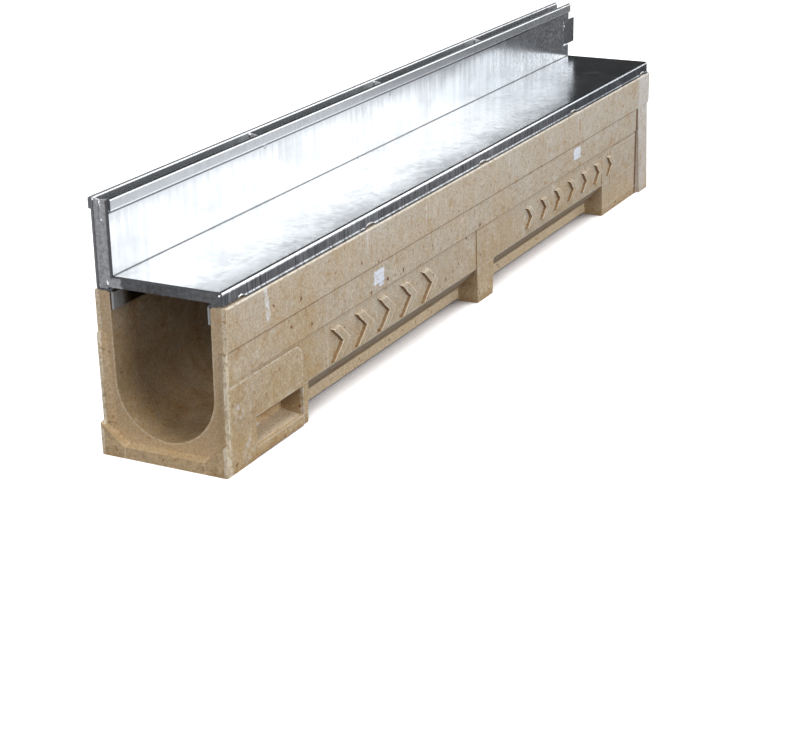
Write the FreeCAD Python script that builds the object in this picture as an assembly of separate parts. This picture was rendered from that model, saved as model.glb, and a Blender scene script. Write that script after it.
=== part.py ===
import FreeCAD, Part
import math
import os

# A slotted channel drain, one metre long, in millimetres.
#
# X runs across the channel, +X towards the side that carries the wide cover.
# Y runs along it, the socket end at -Y and the spigot end at +Y.  Z is up and the
# three feet stand on Z = 0.
#
# The trough is one casting in polymer concrete.  The slot top is a welded unit of
# folded galvanised sheet that rests on the rims of the trough: a rear sheet, a
# front sheet that carries the cover, a locating angle and five L-shaped plates.

V = FreeCAD.Vector

# ---- trough: overall sizes
body_length = 1000.0
body_height = 148.0
rim_width = 15.0           # each rim, over the clear width of the bore

# ---- trough: bore
bore_width = 100.0         # clear width between the rims
bore_radius = 49.0         # round bottom
bore_floor = 19.5          # water line above the feet
rim_chamfer = 2.0          # inner edge of each rim
rim_edge = 0.8             # broken outer edge of each rim

# ---- trough: outer walls, as heights and as steps inwards
band_line = 110.0          # lower edge of the top band
bay_line = 82.0            # upper edge of the sunk bays
overhang_line = 38.5       # lower edge of the bay walls
core_line = 13.5           # foot of the undercut
core_width = 80.0          # core that stands between the feet
core_clearance = 2.75      # gap below the core
wall_draft = 0.2           # each wall leans in by this much
band_step = 0.6            # step below the top band
bay_step = 1.3             # depth of the bays

# ---- trough: feet, the end ones measured from their own ends of the channel
socket_foot_length = 132.5
middle_foot_length = 46.0
middle_foot_offset = 9.5   # its middle lies this far towards the spigot end
spigot_foot_length = 152.0
foot_taper = 4.0           # a foot gets this much shorter towards the ground
foot_draft = 0.8           # a foot gets this much narrower, on each side
spigot_foot_flare = 0.5    # but the spigot foot gets wider

# ---- trough: raised bands and pads on the end feet, measured from the same ends
socket_band_length = 38.0
socket_band_height = 78.0
socket_band_rise = 1.6     # over the floor of the bays
spigot_band_length = 33.0
spigot_band_flare = 3.0    # flush with the middle band at its top, this much out below
socket_pad_length = 121.0
socket_pad_rise = 1.0
spigot_pad_length = 123.0
spigot_pad_rise = 0.5
pad_height = 78.5
pad_corner = 12.0
pad_foot = 1.4             # pads stop short of the ground

# ---- trough: pocket in each side of the socket foot
pocket_start = 40.5
pocket_end = 120.0
pocket_sill = 10.3         # front edge of its floor
pocket_back = 19.7         # upper edge of its upright back

# ---- trough: socket and spigot faces
socket_depth = 8.0         # ground block stands this far out
socket_sill = 10.5         # flat of the eight-sided socket
socket_shoulder = 29.5     # where its slanted sides meet the outer walls
socket_flat = 82.0         # width of the flat
socket_draft = 1.8
rim_rise = 3.0             # raised edge beside the bore
rim_top_slope = 7.0        # width of its slanted inner side
rim_top_width = 1.2
rim_foot_width = 5.5
spigot_length = 4.5
spigot_round = 3.0

# ---- slot top: sheet and slot
sheet = 2.0
bend = 1.0                 # inner radius of a bend
hem_gap = 0.4
hem_height = 10.5
steel_inset = 2.5          # the folded faces stand this far inside the outer walls
slot_clear = 14.0          # clear width of the slot
slot_height = 66.5         # slot over the cover
cover_height = 14.0        # cover over the rims
locating_depth = 15.7      # locating edges reach this far down the bore
rear_locating_gap = 2.0    # play between a locating edge and the wall of the bore
front_locating_gap = 0.7
angle_foot = 1.3           # the angle shows this much in front of the face

# ---- slot top: L-shaped plates
plate_count = 5
plate_spacing = 250.0
last_plate_inset = 20.0    # far face of the last plate from the end of the sheets
last_plate_gap = 4.0       # its slot leg stops this far below the tongue
end_plate_drop = 0.5       # top edge below the top of the slot
rib_drop = 2.2
plate_vee = 1.5            # dip in the top edge
plate_seat = 9.0           # width of the rear foot
plate_arch = 1.5           # height of the feet
corner_clearance = 0.6     # corners are cut clear of the bends by this much
notch_length = 18.0        # notch in the angle in front of each plate
notch_offset = 5.0
notch_depth = 6.0          # it reaches this far in under the cover
end_notch_length = 33.0    # the first notch is open to the end of the angle
notch_arch = 1.5           # the face is arched over a notch by this much
end_arch_length = 10.0

# ---- slot top: joggled tongue that slips into the next slot
tongue_length = 23.5
tongue_low = 28.5          # heights over the rims
tongue_high = 58.5
joggle_length = 5.0
joggle_start = 16.0        # before the end of the sheet
joggle_gap = 0.2

# ---- cutters run this far past the faces that they open
past = 10.0

# ---- places worked out from the sizes above
near = -body_length / 2
far = body_length / 2
half = bore_width / 2 + rim_width            # outer wall at the rims
band_x = half - wall_draft                   # top band at its lower edge
middle_x = band_x - band_step                # wall between the two lines
bay_x = middle_x - wall_draft - bay_step     # floor of the bays at their top
bay_foot_x = bay_x - foot_draft              # the same surface at the ground
rim = body_height
cover = rim + cover_height
slot_top = cover + slot_height
front_face = half - steel_inset
rear_face = -front_face
wall_face = rear_face + 2 * sheet + slot_clear
corner_cut = bend + corner_clearance


def from_socket(distance):
    """Place along Y of a distance from the socket end."""
    return near + distance


def from_spigot(distance):
    """Place along Y of a distance from the spigot end."""
    return far - distance


def bay_wall(height):
    """Half width of the bay surface at a height."""
    return bay_foot_x + (bay_x - bay_foot_x) * height / bay_line


def prism(outline, start, end):
    """Outline in the XZ plane, run along Y from start to end."""
    wire = Part.makePolygon([V(x, start, z) for x, z in outline + outline[:1]])
    return Part.Face(wire).extrude(V(0, end - start, 0))


def mirrored(right_side):
    """Closed outline from its right side, listed from the bottom up."""
    return right_side + [(-x, z) for x, z in reversed(right_side)]


def tapered(low, high):
    """Block between two rectangles, each given as half width, start, end, height."""
    wires = []
    for half_width, start, end, z in (low, high):
        corners = [V(-half_width, start, z), V(half_width, start, z),
                   V(half_width, end, z), V(-half_width, end, z)]
        wires.append(Part.makePolygon(corners + corners[:1]))
    return Part.makeLoft(wires, True, True)


def across(face_half_width, edges):
    """Closed edges in the YZ plane at x = 0, run out to both sides."""
    face = Part.Face(Part.Wire(edges))
    face.translate(V(-face_half_width, 0, 0))
    return face.extrude(V(2 * face_half_width, 0, 0))


def bore(start, end):
    """Round-bottomed bore, open at the top."""
    centre = bore_floor + bore_radius
    top = rim + past
    chamfer_slope = rim_chamfer + past
    left_foot = V(-bore_radius, start, centre)
    right_foot = V(bore_radius, start, centre)
    right = [right_foot, V(bore_width / 2, start, rim - rim_chamfer),
             V(bore_width / 2 + chamfer_slope, start, top)]
    left = [V(-p.x, p.y, p.z) for p in reversed(right)]
    edges = [Part.Arc(left_foot, V(0, start, bore_floor), right_foot).toShape()]
    points = right + left
    for first, second in zip(points, points[1:]):
        edges.append(Part.LineSegment(first, second).toShape())
    return Part.Face(Part.Wire(edges)).extrude(V(0, end - start, 0))


def pad(start, end, half_width):
    """Raised pad with rounded upper corner towards the middle of the channel."""
    turned = abs(start) < abs(end)
    inner = start if turned else end
    outer = end if turned else start
    side = 1.0 if turned else -1.0
    bend_start = V(0, inner, pad_height - pad_corner)
    bend_end = V(0, inner + side * pad_corner, pad_height)
    offset = pad_corner * (1 - math.cos(math.radians(45)))
    middle = V(0, inner + side * offset, pad_height - offset)
    lower = [V(0, inner, pad_foot), V(0, outer, pad_foot)]
    edges = [Part.Arc(bend_start, middle, bend_end).toShape(),
             Part.LineSegment(bend_end, V(0, outer, pad_height)).toShape(),
             Part.LineSegment(V(0, outer, pad_height), lower[1]).toShape(),
             Part.LineSegment(lower[1], lower[0]).toShape(),
             Part.LineSegment(lower[0], bend_start).toShape()]
    return across(half_width, edges)


def channel_walls():
    """Section that runs the whole length: top band, middle band, bays and core."""
    right = [(core_width / 2, core_clearance), (core_width / 2, core_line),
             (bay_wall(overhang_line), overhang_line), (bay_x, bay_line),
             (middle_x - wall_draft, bay_line), (middle_x, band_line),
             (band_x, band_line), (half, rim - rim_edge), (half - rim_edge, rim)]
    return prism(mirrored(right), near, far)


def feet():
    """Three feet over the whole width; the middle one is flush with the middle band."""
    shrink = foot_taper / 2
    socket = tapered((bay_foot_x, near, from_socket(socket_foot_length - shrink), 0),
                     (bay_x, near, from_socket(socket_foot_length + shrink), bay_line))
    start = middle_foot_offset - middle_foot_length / 2
    end = middle_foot_offset + middle_foot_length / 2
    middle = tapered((bay_foot_x + bay_step, start + foot_taper, end - foot_taper, 0),
                     (middle_x - wall_draft, start, end, bay_line))
    spigot = tapered((bay_x + spigot_foot_flare,
                      from_spigot(spigot_foot_length - foot_taper), far, 0),
                     (bay_x, from_spigot(spigot_foot_length), far, bay_line))
    return [socket, middle, spigot]


def bands_and_pads():
    """Raised bands at both ends and the pads beside them."""
    top_x = bay_wall(socket_band_height) + socket_band_rise
    socket_end = from_socket(socket_band_length)
    socket_band = tapered((bay_foot_x + socket_band_rise, near, socket_end, 0),
                          (top_x, near, socket_end, socket_band_height))
    spigot_band = tapered((middle_x + spigot_band_flare,
                           from_spigot(spigot_band_length - foot_taper), far, 0),
                          (middle_x, from_spigot(spigot_band_length), far, band_line))
    socket_pad = pad(socket_end, from_socket(socket_pad_length), bay_x + socket_pad_rise)
    spigot_pad = pad(from_spigot(spigot_pad_length), from_spigot(spigot_length),
                     bay_x + spigot_pad_rise)
    return [socket_band, spigot_band, socket_pad, spigot_pad]


def socket_face():
    """Ground block with the eight-sided socket over it, and the raised edges."""
    block_x = bay_foot_x + socket_band_rise
    wires = []
    for y, grow in ((near - socket_depth, 0.0), (near, socket_draft)):
        right = [(block_x, 0), (block_x, socket_shoulder + grow),
                 (socket_flat / 2, socket_sill + grow)]
        outline = mirrored(right)
        wires.append(Part.makePolygon([V(x, y, z) for x, z in outline + outline[:1]]))
    pieces = [Part.makeLoft(wires, True, True)]
    for side in (-1, 1):
        wires = []
        for y, slope in ((near - rim_rise, 0.0), (near, rim_top_slope)):
            corners = [(block_x, socket_shoulder),
                       (middle_x, band_line),
                       (middle_x - rim_top_width - slope, band_line),
                       (block_x - rim_foot_width - slope, socket_shoulder)]
            points = [V(side * x, y, z) for x, z in corners]
            wires.append(Part.makePolygon(points + points[:1]))
        pieces.append(Part.makeLoft(wires, True, True))
    return pieces


def spigot_tongue():
    """Top band carried past the end, with its lower edge rounded."""
    end = far + spigot_length
    low = V(0, end - spigot_round, band_line)
    high = V(0, end, band_line + spigot_round)
    offset = spigot_round * (1 - math.cos(math.radians(45)))
    middle = V(0, end - offset, band_line + offset)
    edges = [Part.LineSegment(V(0, far, band_line), low).toShape(),
             Part.Arc(low, middle, high).toShape(),
             Part.LineSegment(high, V(0, end, rim)).toShape(),
             Part.LineSegment(V(0, end, rim), V(0, far, rim)).toShape(),
             Part.LineSegment(V(0, far, rim), V(0, far, band_line)).toShape()]
    return across(band_x, edges)


def pocket(side):
    """Pocket in the socket foot: undercut above, upright back, sloping floor below."""
    outside = half + past
    outline = [(outside, overhang_line), (bay_wall(overhang_line), overhang_line),
               (core_width / 2, pocket_back), (core_width / 2, core_line),
               (half, pocket_sill), (outside, pocket_sill)]
    outline = [(side * x, z) for x, z in outline]
    return prism(outline, from_socket(pocket_start), from_socket(pocket_end))


def channel_body():
    """The whole casting."""
    body = channel_walls()
    body = body.fuse(feet() + bands_and_pads() + socket_face() + [spigot_tongue()])
    reach = socket_depth + past
    body = body.cut([bore(near - reach, far + reach), pocket(1), pocket(-1)])
    return body.removeSplitter()


def strip(corners, radii):
    """Folded sheet: centre line through corners, each bend of its own centre radius."""
    left, right = [], []
    count = len(corners)
    points = [V(x, 0, z) for x, z in corners]
    ways = [(b - a).normalize() for a, b in zip(points, points[1:])]
    sides = [V(-way.z, 0, way.x) for way in ways]
    reach = sheet / 2
    left.append(points[0] + sides[0] * reach)
    right.append(points[0] - sides[0] * reach)
    left_edges, right_edges = [], []
    for index in range(1, count - 1):
        before, after = ways[index - 1], ways[index]
        radius = radii[index - 1]
        turn = before.getAngle(after)
        back = radius * math.tan(turn / 2)
        start = points[index] - before * back
        end = points[index] + after * back
        to_left = before.z * after.x - before.x * after.z < 0
        towards = sides[index - 1] * (radius if to_left else -radius)
        centre = start + towards
        middle_way = (points[index] - centre).normalize()
        for side, last, edges in ((1, left, left_edges), (-1, right, right_edges)):
            inner = (side > 0) == to_left
            size = radius - reach if inner else radius + reach
            first = start + sides[index - 1] * (side * reach)
            second = end + sides[index] * (side * reach)
            if (first - last[-1]).Length > 1e-6:
                edges.append(Part.LineSegment(last[-1], first).toShape())
            edges.append(Part.Arc(first, centre + middle_way * size, second).toShape())
            last.append(second)
    for side, last, edges in ((1, left, left_edges), (-1, right, right_edges)):
        tip = points[-1] + sides[-1] * (side * reach)
        edges.append(Part.LineSegment(last[-1], tip).toShape())
        last.append(tip)
    caps = [Part.LineSegment(left[0], right[0]).toShape(),
            Part.LineSegment(left[-1], right[-1]).toShape()]
    return Part.Face(Part.Wire(Part.__sortEdges__(left_edges + right_edges + caps)))


def folded(corners, radii):
    """Folded sheet over the whole length of the slot top."""
    face = strip(corners, radii)
    face.translate(V(0, near, 0))
    return face.extrude(V(0, body_length, 0))


def rear_slot_sheet():
    """Hemmed rear wall of the slot, its floor on the rim and its locating edge."""
    wall = rear_face + sheet / 2
    hem = wall - sheet - hem_gap
    ridge = slot_top - sheet / 2
    floor = rim + sheet / 2
    edge = -bore_width / 2 + rear_locating_gap + sheet / 2
    hem_bend = (sheet + hem_gap) / 2
    fold = bend + sheet / 2
    return folded([(hem, slot_top - hem_height), (hem, ridge), (wall, ridge), (wall, floor),
                   (edge, floor), (edge, rim - locating_depth)],
                  [hem_bend, hem_bend, fold, fold])


def slot_tongue():
    """Joggled end of the slot wall: outline seen from above, run upwards."""
    inner = wall_face - sheet
    shift = sheet + joggle_gap
    start = far - joggle_start
    end = start + joggle_length
    tip = far + tongue_length
    outline = [(inner, start), (inner - shift, end), (inner - shift, tip),
               (wall_face - shift, tip), (wall_face - shift, end), (wall_face, start)]
    low = rim + tongue_low
    high = rim + tongue_high
    points = [V(x, y, low) for x, y in outline]
    wire = Part.makePolygon(points + points[:1])
    return Part.Face(wire).extrude(V(0, 0, high - low))


def front_cover_sheet():
    """Hemmed front wall of the slot, the cover and its face, in one folded sheet."""
    wall = wall_face - sheet / 2
    hem = wall + sheet + hem_gap
    ridge = slot_top - sheet / 2
    top = cover - sheet / 2
    face = front_face - sheet / 2
    hem_bend = (sheet + hem_gap) / 2
    fold = bend + sheet / 2
    body = folded([(hem, slot_top - hem_height), (hem, ridge), (wall, ridge), (wall, top),
                   (face, top), (face, rim + sheet)],
                  [hem_bend, hem_bend, fold, fold])
    window = Part.makeBox(2 * sheet, joggle_start + past, tongue_high - tongue_low,
                          V(wall_face - 1.5 * sheet, far - joggle_start, rim + tongue_low))
    spans = notch_spans()
    spans[0] = (spans[0][1] - end_arch_length, spans[0][1])
    arches = [arched_cut(start, end) for start, end in spans]
    return body.cut([window] + arches).fuse(slot_tongue()).removeSplitter()


def plate_starts():
    """Near face of each L-shaped plate along Y."""
    starts = [near + index * plate_spacing for index in range(plate_count - 1)]
    inner = [start - sheet / 2 for start in starts[1:]]
    return [near] + inner + [far - last_plate_inset - sheet]


def notch_spans():
    """Start and end of each notch along Y; the first is open to the end of the angle."""
    spans = [(near - past, near + end_notch_length)]
    for start in plate_starts()[1:]:
        middle = start + notch_offset
        spans.append((middle - notch_length / 2, middle + notch_length / 2))
    return spans


def arched_cut(start, end):
    """Cutter for the lower edge of the front face, with an arc for its top."""
    foot = rim + sheet
    ends = V(0, start, foot), V(0, end, foot)
    crown = V(0, (start + end) / 2, foot + notch_arch)
    below = V(0, start, rim), V(0, end, rim)
    edges = [Part.Arc(ends[0], crown, ends[1]).toShape(),
             Part.LineSegment(ends[1], below[1]).toShape(),
             Part.LineSegment(below[1], below[0]).toShape(),
             Part.LineSegment(below[0], ends[0]).toShape()]
    face = Part.Face(Part.Wire(edges))
    face.translate(V(front_face - 1.5 * sheet, 0, 0))
    return face.extrude(V(2 * sheet, 0, 0))


def front_locating_angle():
    """Angle under the front face: seat on the rim, locating edge in the bore."""
    seat = rim + sheet / 2
    edge = bore_width / 2 - front_locating_gap - sheet / 2
    fold = bend + sheet / 2
    angle = folded([(front_face + angle_foot, seat), (edge, seat), (edge, rim - locating_depth)],
                   [fold])
    notches = [Part.makeBox(notch_depth + angle_foot + past, end - start, sheet + 2 * past,
                            V(front_face - notch_depth, start, rim - past))
               for start, end in notch_spans()]
    return angle.cut(notches)


def slot_plate(start, top):
    """L-shaped plate that closes or stiffens the slot and carries the cover."""
    floor = rim + sheet
    arch = floor + plate_arch
    under_cover = cover - sheet
    left = rear_face + sheet
    inner = wall_face - sheet
    right = front_face - sheet
    rear_seat = left + plate_seat
    front_seat = bore_width / 2 + bend
    outline = [(left + corner_cut, floor), (rear_seat, floor), (rear_seat + plate_arch, arch),
               (front_seat - plate_arch, arch), (front_seat, floor), (right, floor),
               (right, under_cover - corner_cut), (right - corner_cut, under_cover),
               (inner, under_cover), (inner, top), ((left + inner) / 2, top - plate_vee),
               (left, top), (left, floor + corner_cut)]
    return prism(outline, start, start + sheet)


nodes = {"channel_body": channel_body(),
         "rear_slot_sheet": rear_slot_sheet(),
         "front_cover_sheet": front_cover_sheet(),
         "front_locating_angle": front_locating_angle()}
places = plate_starts()
nodes["near_end_plate"] = slot_plate(places[0], slot_top - end_plate_drop)
for number, place in enumerate(places[1:-1], 1):
    nodes["slot_rib_%d" % number] = slot_plate(place, slot_top - rib_drop)
nodes["far_end_rib"] = slot_plate(places[-1], rim + tongue_low - last_plate_gap)

os.makedirs("parts", exist_ok=True)
for name, shape in nodes.items():
    shape.exportStep("parts/%s.step" % name)
    print("%-22s solids %d valid %s volume %.0f mm3" % (name, len(shape.Solids),
                                                        shape.isValid(), shape.Volume))
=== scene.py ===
import math

import bpy
import numpy as np
from mathutils import Euler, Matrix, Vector


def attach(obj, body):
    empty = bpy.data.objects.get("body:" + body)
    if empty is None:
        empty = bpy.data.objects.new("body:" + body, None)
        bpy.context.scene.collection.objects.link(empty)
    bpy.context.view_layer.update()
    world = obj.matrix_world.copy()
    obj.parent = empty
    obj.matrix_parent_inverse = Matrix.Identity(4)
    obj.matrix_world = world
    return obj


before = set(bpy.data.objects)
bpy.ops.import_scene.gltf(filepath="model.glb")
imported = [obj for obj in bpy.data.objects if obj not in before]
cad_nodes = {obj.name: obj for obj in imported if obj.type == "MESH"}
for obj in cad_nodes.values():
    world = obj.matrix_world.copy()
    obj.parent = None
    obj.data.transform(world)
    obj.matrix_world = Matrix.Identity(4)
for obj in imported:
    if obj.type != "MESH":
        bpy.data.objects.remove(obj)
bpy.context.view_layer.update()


# ---- The cast trough -------------------------------------------------------------
# One casting in polymer concrete: quartz sand and resin, sandy beige, matt, with air
# holes and brown grains at its faces.  It is poured upside down, so its corners are
# a little rounded and the edges that rub on pallets are worn white.

# Its colour also carries painted light and shade: by facing, in the pockets, in creases and the
# groove, and highlights along the pads and on the marks.
def new_material(name):
    """Empty node material: the material, its node tree and its shader."""
    material = bpy.data.materials.new(name)
    material.use_nodes = True
    tree = material.node_tree
    tree.nodes.clear()
    output = tree.nodes.new("ShaderNodeOutputMaterial")
    shader = tree.nodes.new("ShaderNodeBsdfPrincipled")
    tree.links.new(shader.outputs["BSDF"], output.inputs["Surface"])
    return material, tree, shader


def feed(tree, socket, value):
    """Join an output to a socket, or set the socket to a plain value."""
    if isinstance(value, bpy.types.NodeSocket):
        tree.links.new(value, socket)
    else:
        socket.default_value = value


def noise(tree, vector, scale, detail, roughness):
    """Noise from 0 to 1 over a vector."""
    node = tree.nodes.new("ShaderNodeTexNoise")
    feed(tree, node.inputs["Vector"], vector)
    node.inputs["Scale"].default_value = scale
    node.inputs["Detail"].default_value = detail
    node.inputs["Roughness"].default_value = roughness
    return node.outputs["Fac"]


def noise_colour(tree, vector, scale):
    """Noise with its own value in each of three parts."""
    node = tree.nodes.new("ShaderNodeTexNoise")
    feed(tree, node.inputs["Vector"], vector)
    node.inputs["Scale"].default_value = scale
    return node.outputs["Color"]


def stretched_noise(tree, place, factors, detail, roughness, scale=1.0):
    """Noise over the place scaled by its own factor along each axis."""
    node = tree.nodes.new("ShaderNodeMapping")
    feed(tree, node.inputs["Vector"], place)
    node.inputs["Scale"].default_value = factors
    return noise(tree, node.outputs["Vector"], scale, detail, roughness)


def ramp(tree, value, low, high, to_low=0.0, to_high=1.0):
    """Smooth step of a value between low and high."""
    node = tree.nodes.new("ShaderNodeMapRange")
    node.interpolation_type = "SMOOTHSTEP"
    feed(tree, node.inputs["Value"], value)
    node.inputs["From Min"].default_value = low
    node.inputs["From Max"].default_value = high
    node.inputs["To Min"].default_value = to_low
    node.inputs["To Max"].default_value = to_high
    return node.outputs["Result"]


def math_node(tree, operation, first, second=0.0, clamp=False):
    """One arithmetic step."""
    node = tree.nodes.new("ShaderNodeMath")
    node.operation = operation
    node.use_clamp = clamp
    feed(tree, node.inputs[0], first)
    feed(tree, node.inputs[1], second)
    return node.outputs[0]


def both(tree, *masks):
    """Product of masks."""
    result = masks[0]
    for mask in masks[1:]:
        result = math_node(tree, "MULTIPLY", result, mask)
    return result


def either(tree, *masks):
    """Highest of masks."""
    result = masks[0]
    for mask in masks[1:]:
        result = math_node(tree, "MAXIMUM", result, mask)
    return result


def opposite(tree, mask):
    """One less a mask."""
    return math_node(tree, "SUBTRACT", 1.0, mask)


def between(tree, value, low, high, soft):
    """1 from low to high, with soft ends."""
    return both(tree, ramp(tree, value, low - soft, low + soft),
                ramp(tree, value, high + soft, high - soft))


def distance(tree, first, second):
    """Root of the sum of two squares."""
    return math_node(tree, "SQRT", math_node(
        tree, "ADD", math_node(tree, "MULTIPLY", first, first),
        math_node(tree, "MULTIPLY", second, second)))


def mix_colour(tree, factor, first, second, blend="MIX"):
    """Blend of two colours."""
    node = tree.nodes.new("ShaderNodeMix")
    node.data_type = "RGBA"
    node.blend_type = blend
    feed(tree, node.inputs["Factor"], factor)
    for socket, value in zip((node.inputs[6], node.inputs[7]), (first, second)):
        feed(tree, socket, value if isinstance(value, bpy.types.NodeSocket) else (*value, 1.0))
    return node.outputs[2]


def stain(tree, colour, mask, share, tint):
    """A tint laid over a colour where a mask is 1, by a share."""
    return mix_colour(tree, math_node(tree, "MULTIPLY", mask, share), colour, tint)


def tint_of(red, green, blue):
    """Linear colour of a finish from its 8-bit colour in even light."""
    parts = np.array([red, green, blue]) / 255.0
    return tuple(float(part) for part in
                 np.where(parts <= 0.04045, parts / 12.92, ((parts + 0.055) / 1.055) ** 2.4))


def object_place(tree):
    """Place on the object in metres, whole and as its three parts."""
    place = tree.nodes.new("ShaderNodeTexCoord").outputs["Object"]
    split = tree.nodes.new("ShaderNodeSeparateXYZ")
    tree.links.new(place, split.inputs[0])
    return place, split.outputs


def bump(tree, height, strength, depth, under=None):
    """Normal from a height times a depth in metres, laid over another normal."""
    node = tree.nodes.new("ShaderNodeBump")
    node.inputs["Strength"].default_value = strength
    node.inputs["Distance"].default_value = depth
    feed(tree, node.inputs["Height"], height)
    if under is not None:
        tree.links.new(under, node.inputs["Normal"])
    return node.outputs["Normal"]


def air_holes_group():
    """Round pits left by air bubbles: a mask that is 1 inside a pit, and one for the
    thin rim around it.  Each cell of a Voronoi pattern can hold a pit of its own size
    at its point, and a share of the cells has one."""
    group = bpy.data.node_groups.new("air_holes", "ShaderNodeTree")
    face = group.interface
    face.new_socket("Place", in_out="INPUT", socket_type="NodeSocketVector")
    for name in ("Per Metre", "Size", "Share"):
        face.new_socket(name, in_out="INPUT", socket_type="NodeSocketFloat")
    for name in ("Mask", "Rim"):
        face.new_socket(name, in_out="OUTPUT", socket_type="NodeSocketFloat")
    start = group.nodes.new("NodeGroupInput")
    end = group.nodes.new("NodeGroupOutput")
    cells = group.nodes.new("ShaderNodeTexVoronoi")
    group.links.new(start.outputs["Place"], cells.inputs["Vector"])
    group.links.new(start.outputs["Per Metre"], cells.inputs["Scale"])
    tint = group.nodes.new("ShaderNodeSeparateColor")
    group.links.new(cells.outputs["Color"], tint.inputs[0])
    present = math_node(group, "LESS_THAN", tint.outputs[0], start.outputs["Share"])
    own_size = math_node(group, "MULTIPLY", tint.outputs[1], start.outputs["Size"])
    depth = math_node(group, "SUBTRACT", own_size, cells.outputs["Distance"])
    inside = ramp(group, depth, 0.0, 0.03)
    around = ramp(group, depth, -0.06, 0.0)
    mask = both(group, present, inside)
    rim = both(group, present, math_node(group, "SUBTRACT", around, inside))
    group.links.new(mask, end.inputs["Mask"])
    group.links.new(rim, end.inputs["Rim"])
    return group


air_holes = air_holes_group()


def pits(tree, place, per_metre, size, share):
    """Air holes placed in a material: the mask of the pits and that of their rims."""
    node = tree.nodes.new("ShaderNodeGroup")
    node.node_tree = air_holes
    tree.links.new(place, node.inputs["Place"])
    node.inputs["Per Metre"].default_value = per_metre
    node.inputs["Size"].default_value = size
    node.inputs["Share"].default_value = share
    return node.outputs["Mask"], node.outputs["Rim"]


# heights over the ground: the rims, the lower edge of the top band, the top of the
# sunk bays, of the pads and of the undercut, its foot, the pockets' sill, the bore
rim_top, band_foot, bay_top, pad_top = 0.148, 0.110, 0.082, 0.0785
wall_foot, core_foot, pocket_sill, bore_floor = 0.0385, 0.0135, 0.0103, 0.0195
# places along the channel: its ends, the socket's band, the groove before the spigot,
# and the pockets
end_at, band_end, groove_near, groove_far = 0.500, -0.462, 0.4615, 0.4680
pocket_near, pocket_far = -0.4595, -0.3800
# distances from the middle: what is further out than outer_wall is an outer wall
outer_wall, core_wall, bore_wall, bore_radius = 0.0600, 0.0400, 0.0500, 0.0490
# the pads at the ends, and the round of their upper corners
socket_pad, spigot_pad, pad_round = 0.121, 0.123, 0.0120

pale, tan = tint_of(204, 197, 184), tint_of(160, 131, 90)
brown, rubbed = tint_of(112, 82, 48), tint_of(214, 204, 184)


class Casting:
    """Where a point lies on the casting: the values and masks that its coats share."""

    def __init__(self, tree):
        self.place, (self.across, self.along, self.up) = object_place(tree)
        self.reach = math_node(tree, "ABSOLUTE", self.across)
        self.length = math_node(tree, "ABSOLUTE", self.along)
        facing = tree.nodes.new("ShaderNodeSeparateXYZ")
        normal = tree.nodes.new("ShaderNodeTexCoord").outputs["Normal"]
        tree.links.new(normal, facing.inputs[0])
        self.facing_across, facing_lengthwise, self.facing_up = facing.outputs
        self.facing_along = ramp(tree, math_node(tree, "ABSOLUTE", facing_lengthwise),
                                 0.60, 0.80)
        self.facing_down = ramp(tree, self.facing_up, -0.25, -0.45)
        self.outer = ramp(tree, self.reach, outer_wall, outer_wall + 0.0008)
        self.ends = ramp(tree, self.length, end_at - 0.0050, end_at - 0.0035)
        self.end_face = both(tree, self.facing_along, self.ends)
        self.bore = both(tree, ramp(tree, self.reach, bore_wall + 0.0005, bore_wall - 0.0005),
                         ramp(tree, self.up, bore_floor - 0.0030, bore_floor - 0.0005),
                         opposite(tree, self.end_face))
        self.patches = noise(tree, self.place, 55.0, 6.0, 0.65)
        self.grain = noise(tree, self.place, 430.0, 3.0, 0.75)
        self.rough_edge = noise(tree, self.place, 210.0, 4.0, 0.7)
        self.broken = ramp(tree, self.rough_edge, 0.40, 0.56, 0.15, 1.0)


def resin_and_sand(tree, at):
    """Warm at the socket end and low down, greyer towards the rims and the spigot end,
    broken up by broad clouds, by patches and clusters, and by faint upright runs."""
    warm, cool = tint_of(170, 145, 106), tint_of(177, 169, 156)
    clouds = noise(tree, at.place, 12.0, 5.0, 0.6)
    greying = math_node(tree, "ADD", ramp(tree, at.up, 0.0, 0.15, 0.0, 0.56),
                        ramp(tree, at.along, -0.58, -0.10, 0.0, 0.40))
    greying = math_node(tree, "ADD", greying, ramp(tree, at.along, 0.0, 0.5, 0.0, 0.14))
    greying = math_node(tree, "ADD", greying, ramp(tree, clouds, 0.3, 0.7, -0.26, 0.20), True)
    colour = mix_colour(tree, greying, warm, cool)
    colour = mix_colour(tree, ramp(tree, at.patches, 0.54, 0.76, 0.0, 0.50), colour, pale)
    colour = mix_colour(tree, ramp(tree, at.patches, 0.46, 0.26, 0.0, 0.60), colour, tan)
    clusters = noise(tree, at.place, 135.0, 4.0, 0.7)
    colour = mix_colour(tree, ramp(tree, clusters, 0.47, 0.30, 0.0, 0.50), colour,
                        tint_of(158, 122, 70))
    colour = mix_colour(tree, ramp(tree, clusters, 0.56, 0.72, 0.0, 0.30), colour,
                        tint_of(196, 192, 184))
    runs = stretched_noise(tree, at.place, (110.0, 110.0, 10.0), 5.0, 0.62)
    colour = mix_colour(tree, ramp(tree, runs, 0.56, 0.80, 0.0, 0.40), colour, pale)
    return mix_colour(tree, ramp(tree, runs, 0.42, 0.24, 0.0, 0.35), colour, tan)


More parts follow.
